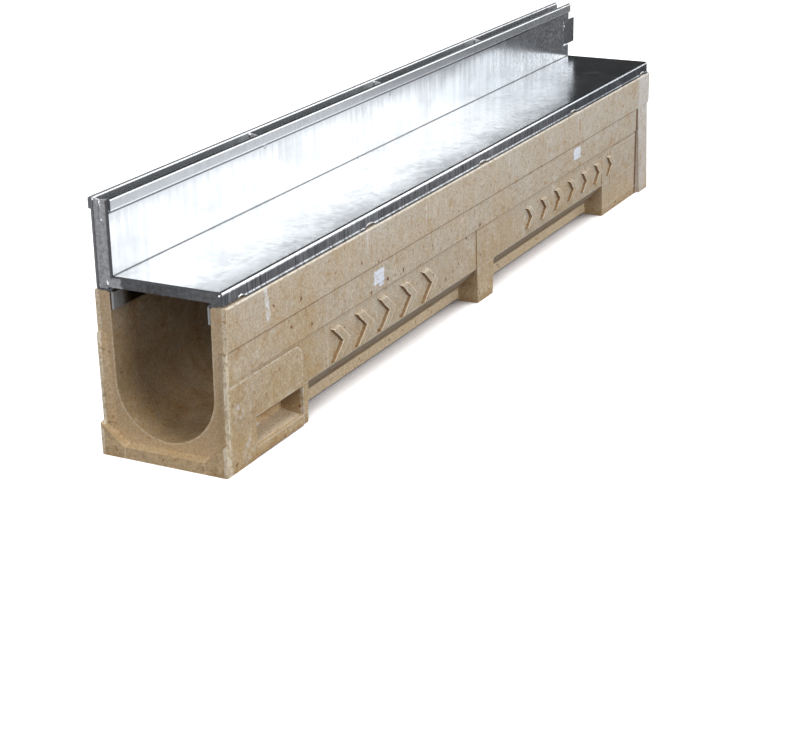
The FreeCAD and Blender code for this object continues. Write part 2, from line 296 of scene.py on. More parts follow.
def painted_light_and_shade_by_facing(tree, at, colour):
    """Painted light and shade by facing and place: the faces that look along the channel
    get painted shade, orange at its ends and brown on the feet, undersides get grey painted
    shade, the pockets are painted light below and shaded dark above, the low side of the
    core is painted light, and everything is painted a little paler towards the ground."""
    # painted shade on the end faces
    colour = stain(tree, colour, at.end_face, 0.55, tint_of(166, 141, 112))
    # painted shade on the faces of the feet that look along the channel
    foot_face = both(tree, at.facing_along, opposite(tree, at.ends))
    colour = stain(tree, colour, foot_face, 0.55, tint_of(140, 108, 66))
    # painted shade on the undersides
    colour = stain(tree, colour, at.facing_down, 0.60, tint_of(162, 150, 136))
    in_pocket = both(tree, between(tree, at.along, pocket_near, pocket_far, 0.0006),
                     ramp(tree, at.up, wall_foot + 0.0014, wall_foot + 0.0006),
                     ramp(tree, at.reach, outer_wall + 0.0008, outer_wall),
                     ramp(tree, at.reach, core_wall - 0.0010, core_wall - 0.0003))
    # painted light on the pocket floors
    pocket_floor = both(tree, in_pocket, ramp(tree, at.facing_up, 0.3, 0.5))
    colour = stain(tree, colour, pocket_floor, 0.8, tint_of(222, 206, 182))
    # painted shade under the pocket roofs
    pocket_roof = both(tree, in_pocket, at.facing_down)
    colour = stain(tree, colour, pocket_roof, 0.8, tint_of(100, 76, 48))
    # painted light on the low side of the core
    core_side = both(tree, ramp(tree, at.reach, core_wall + 0.0012, core_wall + 0.0006),
                     ramp(tree, at.up, core_foot + 0.0010, core_foot),
                     ramp(tree, at.reach, core_wall - 0.0010, core_wall - 0.0004))
    colour = stain(tree, colour, core_side, 0.6, tint_of(214, 196, 168))
    # painted light, more of it towards the ground, where less light reaches
    low = ramp(tree, at.up, 0.045, 0.0, 0.0, 0.35)
    return mix_colour(tree, low, colour, tint_of(204, 180, 144))


def smoothed_bore(tree, at, colour):
    """The bore is rubbed with resin: darker, mottled in brown, with rusty washes."""
    mottle = ramp(tree, noise(tree, at.place, 42.0, 6.0, 0.7), 0.32, 0.70, 0.20, 0.70)
    colour = mix_colour(tree, both(tree, at.bore, mottle), colour, tint_of(146, 118, 86))
    rust = ramp(tree, stretched_noise(tree, at.place, (18.0, 26.0, 11.0), 5.0, 0.65),
                0.52, 0.72, 0.0, 0.65)
    return mix_colour(tree, both(tree, at.bore, rust), colour, tint_of(138, 94, 48))


def sand_grains(tree, at, colour):
    """A coarse light and dark grain, orange grains and grey grains."""
    fine = noise(tree, at.place, 1150.0, 2.0, 0.7)
    shade = both(tree, ramp(tree, at.grain, 0.28, 0.72, 0.78, 1.20),
                 ramp(tree, fine, 0.25, 0.75, 0.88, 1.12))
    colour = mix_colour(tree, 1.0, colour, shade, "MULTIPLY")
    orange = ramp(tree, noise(tree, at.place, 360.0, 3.0, 0.7), 0.54, 0.72, 0.0, 0.38)
    colour = mix_colour(tree, orange, colour, tint_of(190, 146, 88))
    grey = ramp(tree, noise(tree, at.place, 290.0, 3.0, 0.7), 0.56, 0.74, 0.0, 0.32)
    return mix_colour(tree, grey, colour, tint_of(168, 163, 154))


def shade_in_creases_and_soil(tree, at, colour):
    """Dirt and painted shade under the bands, painted shade in the groove, and soil on the feet."""
    plain_length = ramp(tree, at.along, groove_far, groove_near)
    # painted shade, with some dirt, in the creases under the top band and the bays' top edge
    band_crease = both(tree, between(tree, at.up, band_foot - 0.0014, band_foot - 0.0001, 0.0004),
                       at.outer, plain_length)
    bay_crease = both(tree, between(tree, at.up, bay_top - 0.0014, bay_top - 0.0001, 0.0004),
                      plain_length, ramp(tree, at.along, band_end - 0.001, band_end), at.outer)
    colour = stain(tree, colour, either(tree, band_crease, bay_crease), 0.68, brown)
    # painted shade in the groove before the spigot
    groove = both(tree, between(tree, at.along, groove_near, groove_far, 0.0008),
                  ramp(tree, at.up, band_foot, band_foot - 0.0015),
                  ramp(tree, at.reach, 0.0670, 0.0655))
    colour = stain(tree, colour, groove, 0.92, tint_of(100, 70, 40))
    soil_line = 0.0085
    soil = math_node(tree, "ADD", math_node(tree, "SUBTRACT", soil_line, at.up),
                     ramp(tree, at.rough_edge, 0.35, 0.65, -0.006, 0.004))
    soil = both(tree, ramp(tree, soil, 0.0, 0.004),
                ramp(tree, at.reach, core_wall + 0.002, core_wall + 0.004))
    return stain(tree, colour, soil, 0.45, tint_of(142, 110, 66))


def rubbed_arrises_and_highlights(tree, at, colour):
    """Arrises rubbed pale: the end corners, the rims and the mouth of the bore; pale lines
    along the sills; a painted highlight along the pads' outlines and the band's top, with
    painted shade just outside the pads."""
    ragged_end = math_node(tree, "ADD", at.along,
                           ramp(tree, at.rough_edge, 0.35, 0.65, -0.0016, 0.0016))
    side_edge = both(tree, at.outer,
                     ramp(tree, ragged_end, 0.0016 - end_at, 0.0004 - end_at, 0.0, 0.8))
    face_edge = both(tree, at.end_face, ramp(tree, at.reach, 0.0630, 0.0650))
    corner = either(tree, side_edge, math_node(tree, "MULTIPLY", face_edge, 0.25))
    colour = mix_colour(tree, both(tree, corner, at.broken), colour, rubbed)
    rim_edge = both(tree, between(tree, at.up, rim_top - 0.0018, rim_top + 0.0004, 0.0004),
                    ramp(tree, at.reach, 0.0640, 0.0645))

    # each pad's outline turns down a corner: the gap from the middle of that round
    corner_at = ramp(tree, at.along, -0.1, 0.1, end_at - socket_pad + pad_round,
                     end_at - spigot_pad + pad_round)
    gap_along = math_node(tree, "MAXIMUM", math_node(tree, "SUBTRACT", corner_at, at.length))
    gap_up = math_node(tree, "MAXIMUM", math_node(tree, "SUBTRACT", at.up, pad_top - pad_round))
    pad_gap = distance(tree, gap_along, gap_up)
    on_pads = both(tree, at.outer, ramp(tree, at.length, 0.3745, 0.3750),
                   ramp(tree, at.length, 0.0005 - band_end, -band_end))
    # painted highlight along the pads' outlines
    pads = both(tree, between(tree, pad_gap, pad_round - 0.0014, pad_round - 0.0001, 0.0003),
                on_pads)
    # painted shade just outside the pads' outlines
    pad_shade = both(tree, between(tree, pad_gap, pad_round + 0.0002, pad_round + 0.0010, 0.0003),
                     on_pads)
    colour = stain(tree, colour, pad_shade, 0.40, brown)
    # painted highlight along the top of the band at the socket end
    band_top = both(tree, between(tree, at.up, pad_top - 0.0015, pad_top - 0.0003, 0.0003),
                    at.outer, ramp(tree, at.along, band_end, band_end - 0.0005))
    pads = math_node(tree, "MULTIPLY", either(tree, pads, band_top), 0.8)
    sills = either(tree, between(tree, at.up, wall_foot - 0.0005, wall_foot + 0.0008, 0.0003),
                   between(tree, at.up, pocket_sill - 0.0009, pocket_sill + 0.0003, 0.0003))
    sills = both(tree, sills, at.outer, ramp(tree, at.facing_across, -0.3, 0.3),
                 between(tree, at.along, pocket_near, 0.48, 0.001))
    # rubbed rims, together with the painted highlights on the pads and the band, and the pale sill
    # lines
    edges = either(tree, rim_edge, pads, math_node(tree, "MULTIPLY", sills, 0.5))
    colour = mix_colour(tree, both(tree, edges, at.broken), colour, pale)

    # the mouth of the bore: upright sides above the middle of its round bottom
    below = math_node(tree, "MINIMUM", math_node(
        tree, "SUBTRACT", at.up, bore_floor + bore_radius), 0.0)
    radial = distance(tree, at.across, below)
    mouth = both(tree, between(tree, radial, bore_radius, bore_radius + 0.0016, 0.0004),
                 at.end_face, at.broken)
    return stain(tree, colour, mouth, 0.35, rubbed)


def lime_runs(tree, at, colour):
    """Lime: a wide slanting run beside the socket end, four short ones, a line at the
    back of each pocket's floor, faint washes, and a bloom on the band and the spigot."""
    slant = math_node(tree, "MULTIPLY", math_node(tree, "SUBTRACT", at.up, 0.130), 0.12)
    run = between(tree, math_node(tree, "ADD", at.along, slant), -0.4385, -0.4325, 0.0020)
    run = both(tree, run, between(tree, at.up, 0.116, 0.1475, 0.002), at.outer,
               ramp(tree, noise(tree, at.place, 170.0, 4.0, 0.75), 0.42, 0.56, 0.0, 0.9))
    half_width = 0.0012
    for run_at in (-0.255, -0.133, 0.068, 0.265):
        short = both(tree, between(tree, at.along, run_at - half_width, run_at + half_width, 0.0008),
                     between(tree, at.up, 0.122, 0.144, 0.004), at.outer, at.broken)
        run = either(tree, run, math_node(tree, "MULTIPLY", short, 0.45))
    back = both(tree, between(tree, at.up, 0.0124, 0.0142, 0.0004),
                between(tree, at.reach, core_wall - 0.0015, core_wall + 0.0020, 0.0005),
                between(tree, at.along, -0.4590, -0.4190, 0.002))
    wash = ramp(tree, stretched_noise(tree, at.place, (60.0, 60.0, 9.0), 4.0, 0.6, 1.6),
                0.66, 0.80, 0.0, 0.45)
    band_bloom = both(tree, at.outer, between(tree, at.along, -0.490, band_end, 0.004),
                      ramp(tree, at.patches, 0.50, 0.66, 0.0, 0.55),
                      ramp(tree, at.up, 0.080, 0.074))
    spigot_bloom = both(tree, at.outer, ramp(tree, at.along, 0.466, 0.4685),
                        ramp(tree, at.patches, 0.30, 0.60, 0.35, 0.75))
    lime = either(tree, run, back, wash, band_bloom,
                  math_node(tree, "MULTIPLY", spigot_bloom, 0.5))
    caught = both(tree, lime, ramp(tree, at.grain, 0.25, 0.6, 0.55, 1.0))
    return mix_colour(tree, caught, colour, tint_of(214, 216, 222))


def painted_light_on_marks(tree, colour):
    """Raised marks carry their own painted light: a painted highlight on the shoulders above 0,
    painted shade on the lee side below.
    """
    mark_lighting = tree.nodes.new("ShaderNodeAttribute")
    mark_lighting.attribute_name = "mark_light_and_shade"
    mark_light_and_shade = mark_lighting.outputs["Fac"]
    # painted highlight on the shoulders of the marks
    colour = mix_colour(tree, ramp(tree, mark_light_and_shade, 0.1, 1.0, 0.0, 0.80), colour,
                        tint_of(224, 212, 190))
    # painted shade on their side that faces the socket
    return mix_colour(tree, ramp(tree, mark_light_and_shade, -0.1, -1.0, 0.0, 0.90), colour,
                      tint_of(126, 98, 66))


def open_pits(tree, at, colour):
    """Air holes with an orange rim: a few wide ones, brown inside and fainter in the
    bore, and many small orange ones.  Gives back the colour and the pits' mask."""
    wobble = mix_colour(tree, 0.006, at.place, noise_colour(tree, at.place, 320.0))
    wide, wide_rims = pits(tree, wobble, 62.0, 0.125, 1.0)
    small, small_rims = pits(tree, wobble, 170.0, 0.22, 0.50)
    rims = either(tree, wide_rims, math_node(tree, "MULTIPLY", small_rims, 0.6))
    colour = stain(tree, colour, rims, 0.45, tint_of(158, 112, 60))
    colour = stain(tree, colour, small, 0.60, tint_of(150, 98, 46))
    opened = both(tree, wide, ramp(tree, at.bore, 0.0, 1.0, 0.85, 0.40))
    colour = mix_colour(tree, opened, colour, tint_of(96, 58, 26))
    return colour, either(tree, wide, small)


def cast_concrete(name):
    """Sandy polymer concrete, coat over coat, with a waved and grainy surface."""
    material, tree, shader = new_material(name)
    at = Casting(tree)
    colour = resin_and_sand(tree, at)
    # among the coats: painted light and shade by facing, painted shade in creases, painted
    # highlights on ledges
    for coat in (painted_light_and_shade_by_facing, smoothed_bore, sand_grains, shade_in_creases_and_soil,
                 rubbed_arrises_and_highlights, lime_runs):
        colour = coat(tree, at, colour)
    colour, sunk = open_pits(tree, at, painted_light_on_marks(tree, colour))
    feed(tree, shader.inputs["Base Color"], colour)
    feed(tree, shader.inputs["Roughness"], ramp(tree, at.patches, 0.3, 0.7, 0.90, 0.74))
    shader.inputs["Specular IOR Level"].default_value = 0.3
    normal = bump(tree, noise(tree, at.place, 90.0, 4.0, 0.6), 0.40, 0.0006)
    normal = bump(tree, at.grain, 0.60, 0.0005, normal)
    sunk = math_node(tree, "MULTIPLY", sunk, -1.0)
    feed(tree, shader.inputs["Normal"], bump(tree, sunk, 0.9, 0.0012, normal))
    return material


def dress(piece, material):
    """Give a piece one material."""
    piece.data.materials.clear()
    piece.data.materials.append(material)


concrete = cast_concrete("cast_polymer_concrete")
dress(cad_nodes["channel_body"], concrete)


# ---- Flow marks on the cover side ------------------------------------------------
# Plain chevrons cast in relief on the two sunk bays, pointing down the fall of the
# channel.  They are part of the casting, so they carry its finish and drafted sides.

def grid_faces(rows, columns):
    """Quads of a grid of points that is numbered row by row."""
    index = np.arange(rows * columns).reshape(rows, columns)
    return np.stack([index[:-1, :-1], index[1:, :-1], index[1:, 1:], index[:-1, 1:]],
                    axis=-1).reshape(-1, 4)


def new_piece(name, points, faces, material, smooth=True):
    """Mesh piece at the origin, in one material, that rides on the one body."""
    mesh = bpy.data.meshes.new(name)
    mesh.from_pydata(points.tolist(), [], faces)
    mesh.polygons.foreach_set("use_smooth", np.full(len(faces), smooth))
    mesh.update()
    piece = bpy.data.objects.new(name, mesh)
    bpy.context.scene.collection.objects.link(piece)
    dress(piece, material)
    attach(piece, "root")
    return piece


bay_foot, bay_head = 0.0619, 0.0627     # the bay's wall at the ground and at bay_top
mark_relief, mark_sunk = 0.0032, 0.0002


def chevron(name, tip_along, middle_up, width, height, stroke):
    """One raised chevron on the bay wall.

    The surface is a grid: u runs along the arm from the lower tail over the tip to
    the upper tail, v runs across the stroke.  Along = tip - width * |u| plus the
    offset v, up = middle + u * height / 2.  The relief is the smaller of two smooth
    shoulders, one across the stroke and one at each tail, which gives drafted sides.
    The point attribute that the concrete reads is near 1 on the shoulders, a painted
    highlight, and down to -1 on the side that faces the socket, painted shade.
    """
    u = np.linspace(-1.0, 1.0, 81)
    v = np.linspace(-1.0, 1.0, 41)
    grid_u, grid_v = np.meshgrid(u, v, indexing="ij")
    wander = 0.0003 * (np.sin(grid_u * 9.0 + tip_along * 300.0) + np.sin(grid_u * 23.0))
    along = tip_along - width * np.abs(grid_u) + grid_v * stroke / 2 + wander
    up = middle_up + grid_u * height / 2
    shoulder_v = np.clip((1.0 - np.abs(grid_v)) / 0.26, 0.0, 1.0)
    shoulder_u = np.clip((1.0 - np.abs(grid_u)) / 0.07, 0.0, 1.0)
    lift = np.minimum(shoulder_v, shoulder_u)
    lift = lift * lift * (3.0 - 2.0 * lift)
    wall = bay_foot + (bay_head - bay_foot) * up / bay_top
    across = wall - mark_sunk + (mark_relief + mark_sunk) * lift
    # painted highlight along the shoulders, painted shade on the side that faces the socket
    edge = np.exp(-((1.0 - np.abs(grid_v) - 0.30) / 0.10) ** 2)
    lee = np.clip((-grid_v - 0.76) / 0.06, 0.0, 1.0)
    mark_light_and_shade = np.where(lee > 0.0, -lee, edge * 0.9)
    points = np.stack([across, along, up], axis=-1).reshape(-1, 3)
    outwards = grid_faces(len(u), len(v))[:, [0, 3, 2, 1]]
    piece = new_piece(name, points, outwards.tolist(), concrete)
    piece.data.attributes.new("mark_light_and_shade", "FLOAT", "POINT").data.foreach_set(
        "value", mark_light_and_shade.reshape(-1).astype(np.float32))


# each row: count, first tip and step along, middle height, width, height, stroke
mark_rows = {"first_bay_mark": (5, -0.300, 0.046, 0.0575, 0.019, 0.033, 0.0165),
             "second_bay_mark": (7, 0.135, 0.041, 0.0590, 0.012, 0.024, 0.0125)}
for row, (count, first_tip, step, middle_up, width, height, stroke) in mark_rows.items():
    for number in range(count):
        chevron("%s_%d" % (row, number + 1), first_tip + number * step, middle_up,
                width, height, stroke)


# ---- The slot top ----------------------------------------------------------------
# Two sheets folded from bright galvanised steel, hemmed along the slot, with a
# locating angle under the front edge.  Zinc leaves faint upright runs on the walls
# and a soft, uneven shine on the cover.

def zinc_coat(name, tint, rough_low, rough_high, waviness):
    """Bright zinc with upright runs, broad clouds and small dull spots.

    Gives back the material, the tree, the shader, the place and its parts, and the
    colour so far, so that a sheet can add its own marks.
    """
    material, tree, shader = new_material(name)
    place, parts = object_place(tree)
    bright = tuple(min(1.0, part * 1.10) for part in tint)
    dull = tuple(part * 0.74 for part in tint)
    runs = stretched_noise(tree, place, (150.0, 150.0, 9.0), 5.0, 0.62)
    clouds = stretched_noise(tree, place, (20.0, 13.0, 20.0), 5.0, 0.6)
    colour = mix_colour(tree, ramp(tree, runs, 0.32, 0.70), bright, tint)
    colour = mix_colour(tree, ramp(tree, runs, 0.60, 0.78, 0.0, 0.65), colour, dull)
    colour = mix_colour(tree, ramp(tree, clouds, 0.46, 0.72, 0.0, 0.45), colour, dull)
    spots = pits(tree, place, 240.0, 0.20, 0.10)[0]
    colour = stain(tree, colour, spots, 0.35, dull)
    shader.inputs["Metallic"].default_value = 1.0
    shine = math_node(tree, "MULTIPLY", runs, clouds)
    feed(tree, shader.inputs["Roughness"], ramp(tree, shine, 0.12, 0.42, rough_low, rough_high))
    long_waves = stretched_noise(tree, place, (22.0, 26.0, 3.0), 2.0, 0.5, 0.5)
    normal = bump(tree, long_waves, waviness, 0.0008)
    normal = bump(tree, runs, 0.10, 0.0005, normal)
    feed(tree, shader.inputs["Normal"], bump(tree, clouds, waviness, 0.0008, normal))
    return material, tree, shader, place, parts, colour


# the slot's front wall and the foot of its hem, the cover's top, the front face and
# the seam in it; further back than slot_rear is the rear sheet, or a plate's edge at it
wall_at, hem_foot, cover_top, face_at, seam_at = -0.0445, 0.2180, 0.162, 0.0625, -0.238
slot_rear = -0.0590
tongue_root, tongue_foot = 0.4832, 0.1770
spot_welds = ((-0.250, 0.2150), (0.005, 0.2130))        # along, up
root_highlight_spots = ((0.4848, 0.2016), (0.4846, 0.1976))       # along, up
zinc_dull, zinc_dark, zinc_white = (0.44, 0.46, 0.48), (0.16, 0.165, 0.175), (0.90, 0.91, 0.93)


def marked_face(tree, place, parts, colour):
    """Fine upright scratches on the flat of the front face, and the seam in it with a painted glint
    beside it.
    """
    across, along, up = parts
    on_face = ramp(tree, across, face_at - 0.0025, face_at - 0.0005)
    scratches = stretched_noise(tree, place, (30.0, 380.0, 26.0), 4.0, 0.75)
    flat_face = both(tree, ramp(tree, across, face_at - 0.0009, face_at - 0.0003),
                     ramp(tree, up, cover_top - 0.0014, cover_top - 0.0022))
    colour = mix_colour(tree, both(tree, flat_face, ramp(tree, scratches, 0.46, 0.60, 0.15, 0.85)),
                        colour, zinc_dark)
    colour = mix_colour(tree, both(tree, flat_face, ramp(tree, scratches, 0.44, 0.30, 0.0, 0.55)),
                        colour, zinc_white)
    seam = between(tree, along, seam_at - 0.0004, seam_at + 0.0002, 0.0002)
    colour = mix_colour(tree, both(tree, on_face, seam), colour, zinc_dark)
    # painted highlight beside the seam
    seam_glint = between(tree, along, seam_at + 0.0008, seam_at + 0.0018, 0.0003)
    return mix_colour(tree, both(tree, on_face, seam_glint), colour, zinc_white)


def hem_and_fold(tree, parts, hem, on_wall, colour):
    """The hem is handled more and duller, with painted shade as a dark line under its edge
    and a painted highlight along its lip, and a painted dark reflection runs along the fold
    between the wall and the cover."""
    across, along, up = parts
    colour = stain(tree, colour, hem, 0.35, zinc_dull)
    # painted shade under the hem's edge
    under_hem = between(tree, up, hem_foot - 0.0026, hem_foot - 0.0002, 0.0002)
    under_hem = both(tree, under_hem, ramp(tree, along, 0.42, 0.30, 0.15, 1.0))
    colour = mix_colour(tree, both(tree, on_wall, under_hem), colour, zinc_dark)
    # painted dark reflection along the fold
    fold_line = both(tree, ramp(tree, up, cover_top + 0.0012, cover_top + 0.0007),
                     between(tree, across, wall_at - 0.0004, wall_at + 0.0008, 0.0002))
    colour = stain(tree, colour, fold_line, 0.85, zinc_dark)
    # painted highlight along the hem's lip
    hem_lip = both(tree, between(tree, up, hem_foot + 0.0001, hem_foot + 0.0013, 0.0002),
                   ramp(tree, across, wall_at, wall_at + 0.0003))
    return mix_colour(tree, hem_lip, colour, zinc_white)


def darker_far_end(tree, place, parts, fine, far_part, colour):
    """Towards the tongue the zinc is finely mottled, darker below the hem and scuffed.
    The locating edges get painted shade in the bore, all but their ends at the socket."""
    across, along, up = parts
    mottled = mix_colour(tree, 1.0, colour, fine, "MULTIPLY")
    colour = stain(tree, colour, far_part, 0.9, mottled)
    fading = both(tree, ramp(tree, along, 0.04, 0.32),
                  ramp(tree, across, wall_at + 0.0004, wall_at + 0.0016, 0.35, 1.0),
                  ramp(tree, up, hem_foot, hem_foot + 0.0006, 1.0, 0.0))
    faded = mix_colour(tree, 1.0, colour, (0.64, 0.67, 0.70), "MULTIPLY")
    colour = mix_colour(tree, fading, colour, faded)
    scuffs = stretched_noise(tree, place, (40.0, 55.0, 34.0), 3.0, 0.6)
    scuffs = both(tree, far_part, ramp(tree, scuffs, 0.54, 0.72, 0.0, 0.5))
    colour = mix_colour(tree, scuffs, colour, zinc_white)
    # painted shade on the locating edges inside the bore
    in_bore = both(tree, ramp(tree, up, rim_top - 0.0004, rim_top - 0.0010),
                   ramp(tree, along, -0.490, -0.470))
    return stain(tree, colour, in_bore, 0.88, (0.05, 0.05, 0.055))


def weld_rings(tree, parts, on_wall, colour):
    """A dull ring where each spot weld has burnt through from behind."""
    for weld_along, weld_up in spot_welds:
        gap = distance(tree, math_node(tree, "SUBTRACT", parts[1], weld_along),
                       math_node(tree, "SUBTRACT", parts[2], weld_up))
        ring = between(tree, gap, 0.0010, 0.0026, 0.0005)
        colour = mix_colour(tree, both(tree, ring, on_wall), colour, zinc_dull)
    return colour


def tongue_root_highlights(tree, place, parts):
    """Painted highlights at the root of the tongue, where the metal is also dulled: the mask
    of a bright line along the slanting tear with two spots under it, and that of a dotted
    line down the root."""
    across, along, up = parts
    in_front = ramp(tree, across, -0.0570, -0.0560)
    slope = math_node(tree, "MULTIPLY", math_node(tree, "SUBTRACT", along, tongue_root), 0.72)
    # painted highlight along the sheared edge of the tear
    tear = both(tree, between(tree, math_node(tree, "ADD", up, slope), 0.2054, 0.2074, 0.0004),
                between(tree, along, tongue_root - 0.0004, tongue_root + 0.0098, 0.0006))
    for spot_along, spot_up in root_highlight_spots:
        spot = both(tree, between(tree, along, spot_along - 0.0012, spot_along + 0.0012, 0.0005),
                    between(tree, up, spot_up - 0.0011, spot_up + 0.0011, 0.0005))
        tear = either(tree, tear, spot)
    # painted highlight down the joggle at the root
    dots = both(tree, between(tree, along, tongue_root - 0.0010, tongue_root + 0.0006, 0.0004),
                between(tree, up, tongue_foot, tongue_foot + 0.0190, 0.0010), in_front,
                ramp(tree, noise(tree, place, 520.0, 2.0, 0.6), 0.40, 0.52, 0.1, 0.8))
    return both(tree, tear, in_front), dots


def cover_zinc():
    """Zinc of the folded sheets, with the marks of drawing and spot welds, painted shade and
    highlights along the fold and the hem, and painted highlights at the root of the tongue.
    Handled and sheared places have lost their mirror: they scatter part of the light."""
    material, tree, shader, place, parts, colour = zinc_coat(
        "zinc_cover", (0.66, 0.68, 0.70), 0.14, 0.26, 0.03)
    across, along, up = parts
    hem = both(tree, ramp(tree, up, hem_foot, hem_foot + 0.0006),
               ramp(tree, across, wall_at, wall_at + 0.0003))
    on_wall = both(tree, ramp(tree, across, wall_at - 0.0010, wall_at - 0.0002),
                   ramp(tree, across, wall_at + 0.0030, wall_at + 0.0022))
    fine = ramp(tree, stretched_noise(tree, place, (700.0, 500.0, 260.0), 4.0, 0.75),
                0.34, 0.66, 0.62, 1.34)
    far_part = ramp(tree, along, 0.20, 0.46)
    colour = marked_face(tree, place, parts, colour)
    colour = hem_and_fold(tree, parts, hem, on_wall, colour)
    colour = darker_far_end(tree, place, parts, fine, far_part, colour)
    colour = weld_rings(tree, parts, on_wall, colour)
    tear, dots = tongue_root_highlights(tree, place, parts)
    # painted highlights along the tear and the joggle at the root of the tongue
    colour = mix_colour(tree, either(tree, tear, dots), colour, zinc_white)
    feed(tree, shader.inputs["Base Color"], colour)

    slot_inside = both(tree, ramp(tree, across, slot_rear, slot_rear - 0.0010),
                       ramp(tree, up, rim_top + 0.002, rim_top + 0.003))
    near_edge = both(tree, ramp(tree, up, rim_top - 0.0004, rim_top - 0.0010),
                     ramp(tree, along, -0.478, -0.490))
    speckle = both(tree, far_part, on_wall, ramp(tree, fine, 0.95, 1.20, 0.0, 0.16))
    far_hem = both(tree, hem, ramp(tree, along, -0.05, 0.20, 0.0, 0.16))
    matt = either(tree, math_node(tree, "MULTIPLY", slot_inside, 0.16),
                  math_node(tree, "MULTIPLY", near_edge, 0.34), speckle, far_hem, tear)
    feed(tree, shader.inputs["Metallic"], opposite(tree, matt))
    return material


cover_finish = cover_zinc()
for name in ("rear_slot_sheet", "front_cover_sheet", "front_locating_angle"):
    dress(cad_nodes[name], cover_finish)


# ---- The plates in the slot ------------------------------------------------------
# Five L-shaped plates cut from galvanised sheet, which hold the walls of the slot
# apart and carry the cover.  They are welded in between the two folded sheets.

def plate_zinc():
    """Zinc of the plates: duller, mottled and drawn upright in the slot, darker with
    level rolling lines on the webs under the cover, dark where they meet the sheets,
    with a bright sheared top edge."""
    material, tree, shader, place, (across, _, up), colour = zinc_coat(
        "zinc_plate", (0.60, 0.61, 0.64), 0.34, 0.52, 0.4)
    ragged = math_node(tree, "ADD", across, ramp(
        tree, noise(tree, place, 160.0, 4.0, 0.6), 0.3, 0.7, -0.005, 0.005))
    web = ramp(tree, ragged, -0.040, -0.036)
    slot_leg = opposite(tree, web)
    colour = stain(tree, colour, web, 0.62, (0.10, 0.10, 0.105))
    mottle = ramp(tree, noise(tree, place, 260.0, 5.0, 0.75), 0.36, 0.64, 0.74, 1.28)
    colour = mix_colour(tree, 1.0, colour, mottle, "MULTIPLY")
    drawn = stretched_noise(tree, place, (520.0, 60.0, 24.0), 3.0, 0.6)
    drawn = both(tree, ramp(tree, drawn, 0.54, 0.68, 0.0, 0.6), slot_leg)
    colour = mix_colour(tree, drawn, colour, (0.86, 0.87, 0.90))
    rolled = stretched_noise(tree, place, (26.0, 60.0, 640.0), 3.0, 0.7)
    rolled = both(tree, web, ramp(tree, rolled, 0.54, 0.68, 0.0, 0.35))
    colour = mix_colour(tree, rolled, colour, (0.50, 0.51, 0.53))
    rear_edge = ramp(tree, across, slot_rear, slot_rear - 0.0007)
    wall_edge = both(tree, between(tree, across, wall_at - 0.0033, wall_at - 0.0019, 0.0003),
                     ramp(tree, up, cover_top - 0.004, cover_top - 0.002))
    colour = stain(tree, colour, either(tree, rear_edge, wall_edge), 0.75, (0.08, 0.08, 0.085))
    sheared = ramp(tree, up, 0.2262, 0.2270)
    colour = stain(tree, colour, sheared, 0.7, (0.86, 0.87, 0.89))
    feed(tree, shader.inputs["Base Color"], colour)
    feed(tree, shader.inputs["Metallic"], ramp(tree, slot_leg, 0.0, 1.0, 0.94, 0.72))
    return material


plate_finish = plate_zinc()
for name in ("near_end_plate", "slot_rib_1", "slot_rib_2", "slot_rib_3", "far_end_rib"):
    dress(cad_nodes[name], plate_finish)


# ---- Welds -----------------------------------------------------------------------
# Short beads of weld metal, laid by hand: one along the arch over each notch, where
# the cover's face meets the locating angle, dots where the plates meet the sheets, and
# three drips on the plate at the socket end.

def weld_metal():
    """Bright, rough weld metal with dark scale in its ripples."""
    material, tree, shader = new_material("weld_metal")
    place = object_place(tree)[0]
    scale = noise(tree, place, 900.0, 4.0, 0.7)
    colour = mix_colour(tree, ramp(tree, scale, 0.42, 0.66), (0.88, 0.89, 0.91),
                        (0.34, 0.34, 0.35))
    feed(tree, shader.inputs["Base Color"], colour)
    shader.inputs["Metallic"].default_value = 1.0
    feed(tree, shader.inputs["Roughness"], ramp(tree, scale, 0.3, 0.7, 0.34, 0.60))
    feed(tree, shader.inputs["Normal"], bump(tree, scale, 0.5, 0.0003))
    return material


def weld_bead(name, line, radius, seed):
    """Bead along a line of points: a tube that swells, shrinks and closes at its ends.

    The ring at u has the radius times the square root of sin(pi u), which closes both
    ends round, times one plus a sum of sines in u and in the angle v round the tube.
    """
    count, around = len(line), 12
    u = np.linspace(0.0, 1.0, count)[:, None]
    v = np.linspace(0.0, 2 * math.pi, around, endpoint=False)[None, :]
    swell = 1.0 + 0.20 * np.sin(u * 31.0 + seed) + 0.14 * np.sin(3 * v + u * 17.0 + seed)
    size = radius * np.sqrt(np.clip(np.sin(math.pi * u), 0.0, 1.0)) * swell
    way = np.gradient(line, axis=0)
    way /= np.linalg.norm(way, axis=1)[:, None]
    outward = np.array([1.0, 0.0, 0.0]) - way * way[:, :1]
    outward /= np.linalg.norm(outward, axis=1)[:, None]
    beside = np.cross(way, outward)
    rings = (line[:, None, :] + (size * np.cos(v))[..., None] * outward[:, None, :]
             + (size * np.sin(v))[..., None] * beside[:, None, :])[1:-1]
    points = np.concatenate([rings.reshape(-1, 3), line[:1], line[-1:]])
    index = np.arange((count - 2) * around).reshape(count - 2, around)
    turned = np.roll(index, -1, axis=1)
    sides = np.stack([index[:-1], turned[:-1], turned[1:], index[1:]], -1).reshape(-1, 4)
    first, last = len(points) - 2, len(points) - 1
    start_cap = np.stack([np.full(around, first), turned[0], index[0]], axis=-1)
    end_cap = np.stack([np.full(around, last), index[-1], turned[-1]], axis=-1)
    faces = sides.tolist() + start_cap.tolist() + end_cap.tolist()
    new_piece(name, points, faces, weld_finish)


def line_through(count, across, along, up):
    """Points of a line from its three parts, each an array or one value."""
    return np.stack([np.broadcast_to(part, count) for part in (across, along, up)], axis=-1)


